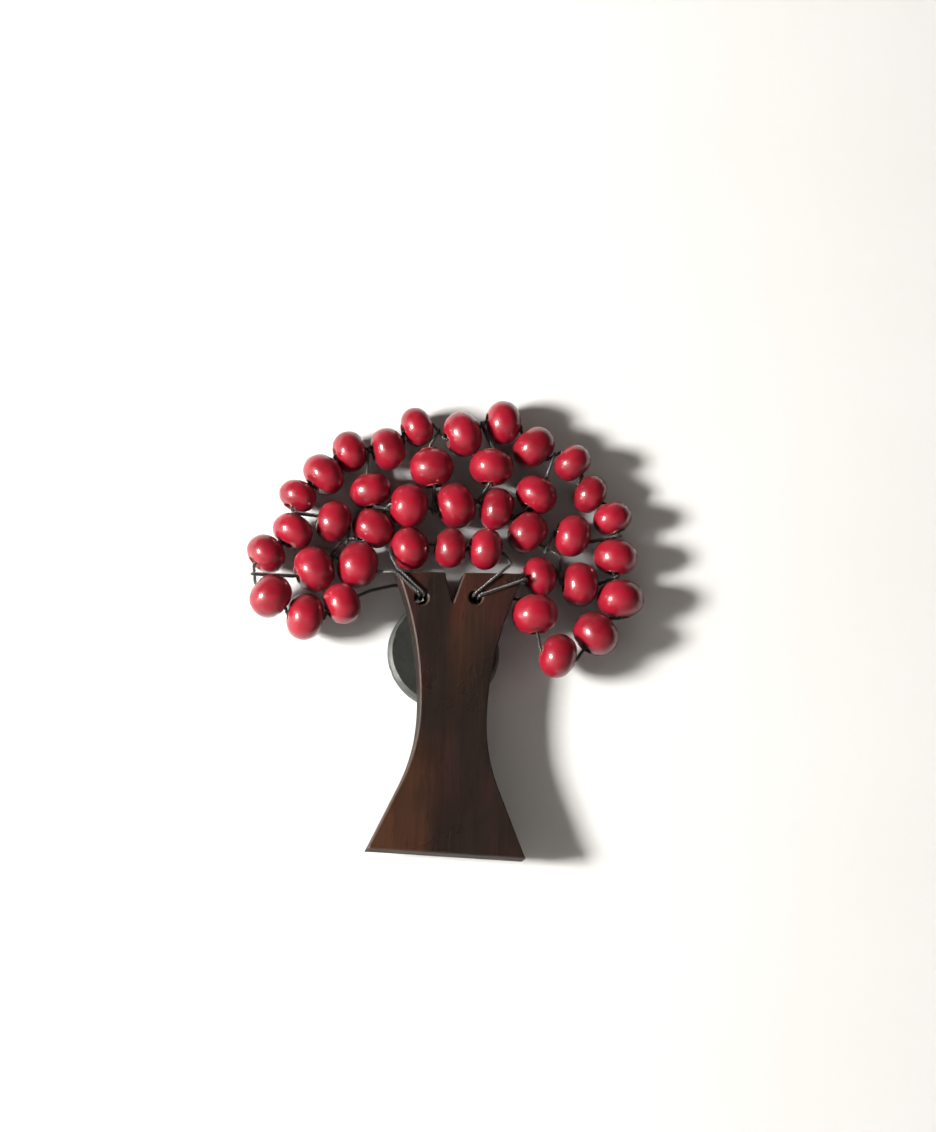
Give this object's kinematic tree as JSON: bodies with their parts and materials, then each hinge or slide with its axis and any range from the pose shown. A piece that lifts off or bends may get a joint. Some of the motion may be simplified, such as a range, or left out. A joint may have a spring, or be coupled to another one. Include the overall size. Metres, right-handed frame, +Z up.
{
  "type": "beaded tree fridge magnet",
  "caption": "Flat wooden tree trunk with a fan of lacquered wooden beads strung on thin cord from its two prongs, held to a steel surface by a round magnet glued behind.",
  "frame": {"origin": "centre of the magnet's back face, which sits on the surface it holds to", "axes": "+Z up the trunk, +Y into the surface behind (the front of the tree faces -Y), +X to the viewer's right"},
  "size_m": [0.065, 0.01, 0.0756],
  "materials": {
    "bead_lacquer": "gloss red lacquer over turned wood",
    "trunk_wood": "dark stained, thin satin finish",
    "ferrite": "ground ferrite, dull grey",
    "cord": "waxed twisted thread",
    "glue": "hot-melt glue"
  },
  "bodies": {
    "tree_frame": {"trunk": "trunk_wood", "magnet": "ferrite", "glue_pad": "glue", "rim_cord": "cord", "arc_cord": "cord", "crown_cord": "cord", "left_knot": "cord", "right_knot": "cord", "spoke_cord_1": "cord", "spoke_cord_2": "cord", "spoke_cord_3": "cord", "spoke_cord_4": "cord", "spoke_cord_5": "cord", "spoke_cord_6": "cord", "spoke_cord_7": "cord", "spoke_cord_8": "cord"},
    "rim_bead_1": {"rim_bead_1": "bead_lacquer"},
    "rim_bead_2": {"rim_bead_2": "bead_lacquer"},
    "rim_bead_3": {"rim_bead_3": "bead_lacquer"},
    "rim_bead_4": {"rim_bead_4": "bead_lacquer"},
    "rim_bead_5": {"rim_bead_5": "bead_lacquer"},
    "rim_bead_6": {"rim_bead_6": "bead_lacquer"},
    "rim_bead_7": {"rim_bead_7": "bead_lacquer"},
    "rim_bead_8": {"rim_bead_8": "bead_lacquer"},
    "rim_bead_9": {"rim_bead_9": "bead_lacquer"},
    "rim_bead_10": {"rim_bead_10": "bead_lacquer"},
    "rim_bead_11": {"rim_bead_11": "bead_lacquer"},
    "rim_bead_12": {"rim_bead_12": "bead_lacquer"},
    "rim_bead_13": {"rim_bead_13": "bead_lacquer"},
    "rim_bead_14": {"rim_bead_14": "bead_lacquer"},
    "rim_bead_15": {"rim_bead_15": "bead_lacquer"},
    "rim_bead_16": {"rim_bead_16": "bead_lacquer"},
    "rim_bead_17": {"rim_bead_17": "bead_lacquer"},
    "rim_bead_18": {"rim_bead_18": "bead_lacquer"},
    "rim_bead_19": {"rim_bead_19": "bead_lacquer"},
    "rim_bead_20": {"rim_bead_20": "bead_lacquer"},
    "rim_bead_21": {"rim_bead_21": "bead_lacquer"},
    "arc_bead_1": {"arc_bead_1": "bead_lacquer"},
    "arc_bead_2": {"arc_bead_2": "bead_lacquer"},
    "arc_bead_3": {"arc_bead_3": "bead_lacquer"},
    "arc_bead_4": {"arc_bead_4": "bead_lacquer"},
    "arc_bead_5": {"arc_bead_5": "bead_lacquer"},
    "arc_bead_6": {"arc_bead_6": "bead_lacquer"},
    "arc_bead_7": {"arc_bead_7": "bead_lacquer"},
    "spoke_bead_1": {"spoke_bead_1": "bead_lacquer"},
    "spoke_bead_2": {"spoke_bead_2": "bead_lacquer"},
    "spoke_bead_3": {"spoke_bead_3": "bead_lacquer"},
    "spoke_bead_4": {"spoke_bead_4": "bead_lacquer"},
    "spoke_bead_5": {"spoke_bead_5": "bead_lacquer"},
    "spoke_bead_6": {"spoke_bead_6": "bead_lacquer"},
    "spoke_bead_7": {"spoke_bead_7": "bead_lacquer"},
    "spoke_bead_8": {"spoke_bead_8": "bead_lacquer"},
    "crown_bead_1": {"crown_bead_1": "bead_lacquer"},
    "crown_bead_2": {"crown_bead_2": "bead_lacquer"},
    "crown_bead_3": {"crown_bead_3": "bead_lacquer"}
  },
  "joints": [
    {"name": "rim_bead_1_spin", "type": "hinge", "parent": "tree_frame", "child": "rim_bead_1", "pos_m": [-0.01725, -0.00575, 0.006], "axis": [-0.866, 0, -0.5], "continuous": true},
    {"name": "rim_bead_2_spin", "type": "hinge", "parent": "tree_frame", "child": "rim_bead_2", "pos_m": [-0.023, -0.00525, 0.0035], "axis": [-0.9962, 0, 0.0872], "continuous": true},
    {"name": "rim_bead_3_spin", "type": "hinge", "parent": "tree_frame", "child": "rim_bead_3", "pos_m": [-0.02875, -0.00625, 0.00625], "axis": [-0.8192, 0, 0.5736], "continuous": true},
    {"name": "rim_bead_4_spin", "type": "hinge", "parent": "tree_frame", "child": "rim_bead_4", "pos_m": [-0.02975, -0.0045, 0.0135], "axis": [0.7071, 0, 0.7071], "continuous": true},
    {"name": "rim_bead_5_spin", "type": "hinge", "parent": "tree_frame", "child": "rim_bead_5", "pos_m": [-0.02575, -0.00475, 0.0175], "axis": [0.4226, 0, 0.9063], "continuous": true},
    {"name": "rim_bead_6_spin", "type": "hinge", "parent": "tree_frame", "child": "rim_bead_6", "pos_m": [-0.02525, -0.00425, 0.0235], "axis": [0.4226, 0, 0.9063], "continuous": true},
    {"name": "rim_bead_7_spin", "type": "hinge", "parent": "tree_frame", "child": "rim_bead_7", "pos_m": [-0.02125, -0.004, 0.0275], "axis": [0.6428, 0, 0.766], "continuous": true},
    {"name": "rim_bead_8_spin", "type": "hinge", "parent": "tree_frame", "child": "rim_bead_8", "pos_m": [-0.01725, -0.00375, 0.03175], "axis": [0.9397, 0, 0.342], "continuous": true},
    {"name": "rim_bead_9_spin", "type": "hinge", "parent": "tree_frame", "child": "rim_bead_9", "pos_m": [-0.011, -0.00375, 0.03275], "axis": [0.9397, 0, 0.342], "continuous": true},
    {"name": "rim_bead_10_spin", "type": "hinge", "parent": "tree_frame", "child": "rim_bead_10", "pos_m": [-0.0065, -0.004, 0.03675], "axis": [0.9063, 0, 0.4226], "continuous": true},
    {"name": "rim_bead_11_spin", "type": "hinge", "parent": "tree_frame", "child": "rim_bead_11", "pos_m": [0.001, -0.00475, 0.036], "axis": [0.9063, 0, 0.4226], "continuous": true},
    {"name": "rim_bead_12_spin", "type": "hinge", "parent": "tree_frame", "child": "rim_bead_12", "pos_m": [0.00775, -0.004, 0.03875], "axis": [1, 0, 0], "continuous": true},
    {"name": "rim_bead_13_spin", "type": "hinge", "parent": "tree_frame", "child": "rim_bead_13", "pos_m": [0.013, -0.004, 0.035], "axis": [0.7071, 0, -0.7071], "continuous": true},
    {"name": "rim_bead_14_spin", "type": "hinge", "parent": "tree_frame", "child": "rim_bead_14", "pos_m": [0.0195, -0.0045, 0.03275], "axis": [0.7071, 0, -0.7071], "continuous": true},
    {"name": "rim_bead_15_spin", "type": "hinge", "parent": "tree_frame", "child": "rim_bead_15", "pos_m": [0.02275, -0.0035, 0.028], "axis": [0.866, 0, -0.5], "continuous": true},
    {"name": "rim_bead_16_spin", "type": "hinge", "parent": "tree_frame", "child": "rim_bead_16", "pos_m": [0.0265, -0.00425, 0.024], "axis": [0.4226, 0, -0.9063], "continuous": true},
    {"name": "rim_bead_17_spin", "type": "hinge", "parent": "tree_frame", "child": "rim_bead_17", "pos_m": [0.02725, -0.00425, 0.0175], "axis": [-0.0872, 0, -0.9962], "continuous": true},
    {"name": "rim_bead_18_spin", "type": "hinge", "parent": "tree_frame", "child": "rim_bead_18", "pos_m": [0.02825, -0.0045, 0.0105], "axis": [0.0872, 0, -0.9962], "continuous": true},
    {"name": "rim_bead_19_spin", "type": "hinge", "parent": "tree_frame", "child": "rim_bead_19", "pos_m": [0.02425, -0.00525, 0.00425], "axis": [-0.5736, 0, -0.8192], "continuous": true},
    {"name": "rim_bead_20_spin", "type": "hinge", "parent": "tree_frame", "child": "rim_bead_20", "pos_m": [0.018, -0.00625, 0], "axis": [-0.9659, 0, 0.2588], "continuous": true},
    {"name": "rim_bead_21_spin", "type": "hinge", "parent": "tree_frame", "child": "rim_bead_21", "pos_m": [0.014, -0.00625, 0.0065], "axis": [-0.1736, 0, 0.9848], "continuous": true},
    {"name": "arc_bead_1_spin", "type": "hinge", "parent": "tree_frame", "child": "arc_bead_1", "pos_m": [-0.015, -0.00475, 0.01275], "axis": [-0.9659, 0, 0.2588], "continuous": true},
    {"name": "arc_bead_2_spin", "type": "hinge", "parent": "tree_frame", "child": "arc_bead_2", "pos_m": [-0.01275, -0.00375, 0.01925], "axis": [0.5, 0, 0.866], "continuous": true},
    {"name": "arc_bead_3_spin", "type": "hinge", "parent": "tree_frame", "child": "arc_bead_3", "pos_m": [-0.00725, -0.0045, 0.02325], "axis": [1, 0, 0], "continuous": true},
    {"name": "arc_bead_4_spin", "type": "hinge", "parent": "tree_frame", "child": "arc_bead_4", "pos_m": [0.0005, -0.00425, 0.024], "axis": [0.9063, 0, 0.4226], "continuous": true},
    {"name": "arc_bead_5_spin", "type": "hinge", "parent": "tree_frame", "child": "arc_bead_5", "pos_m": [0.00725, -0.00425, 0.024], "axis": [0.9659, 0, -0.2588], "continuous": true},
    {"name": "arc_bead_6_spin", "type": "hinge", "parent": "tree_frame", "child": "arc_bead_6", "pos_m": [0.0125, -0.00425, 0.0205], "axis": [0.766, 0, -0.6428], "continuous": true},
    {"name": "arc_bead_7_spin", "type": "hinge", "parent": "tree_frame", "child": "arc_bead_7", "pos_m": [0.01475, -0.0045, 0.01325], "axis": [-0.9397, 0, -0.342], "continuous": true},
    {"name": "spoke_bead_1_spin", "type": "hinge", "parent": "tree_frame", "child": "spoke_bead_1", "pos_m": [-0.022, -0.00475, 0.0115], "axis": [-0.9063, 0, -0.4226], "continuous": true},
    {"name": "spoke_bead_2_spin", "type": "hinge", "parent": "tree_frame", "child": "spoke_bead_2", "pos_m": [-0.01925, -0.00425, 0.01975], "axis": [-0.9659, 0, 0.2588], "continuous": true},
    {"name": "spoke_bead_3_spin", "type": "hinge", "parent": "tree_frame", "child": "spoke_bead_3", "pos_m": [-0.0135, -0.00375, 0.0255], "axis": [-0.2588, 0, 0.9659], "continuous": true},
    {"name": "spoke_bead_4_spin", "type": "hinge", "parent": "tree_frame", "child": "spoke_bead_4", "pos_m": [-0.00375, -0.0045, 0.03], "axis": [-0.1736, 0, 0.9848], "continuous": true},
    {"name": "spoke_bead_5_spin", "type": "hinge", "parent": "tree_frame", "child": "spoke_bead_5", "pos_m": [0.006, -0.005, 0.03075], "axis": [0.0872, 0, 0.9962], "continuous": true},
    {"name": "spoke_bead_6_spin", "type": "hinge", "parent": "tree_frame", "child": "spoke_bead_6", "pos_m": [0.01375, -0.00425, 0.027], "axis": [0.5, 0, 0.866], "continuous": true},
    {"name": "spoke_bead_7_spin", "type": "hinge", "parent": "tree_frame", "child": "spoke_bead_7", "pos_m": [0.02, -0.00425, 0.0205], "axis": [0.9659, 0, -0.2588], "continuous": true},
    {"name": "spoke_bead_8_spin", "type": "hinge", "parent": "tree_frame", "child": "spoke_bead_8", "pos_m": [0.0215, -0.00425, 0.0125], "axis": [0.9962, 0, 0.0872], "continuous": true},
    {"name": "crown_bead_1_spin", "type": "hinge", "parent": "tree_frame", "child": "crown_bead_1", "pos_m": [-0.00675, -0.00525, 0.016], "axis": [0.9397, 0, 0.342], "continuous": true},
    {"name": "crown_bead_2_spin", "type": "hinge", "parent": "tree_frame", "child": "crown_bead_2", "pos_m": [-0.00025, -0.00575, 0.0165], "axis": [0.9962, 0, -0.0872], "continuous": true},
    {"name": "crown_bead_3_spin", "type": "hinge", "parent": "tree_frame", "child": "crown_bead_3", "pos_m": [0.0055, -0.006, 0.01675], "axis": [0.9962, 0, -0.0872], "continuous": true}
  ]
}
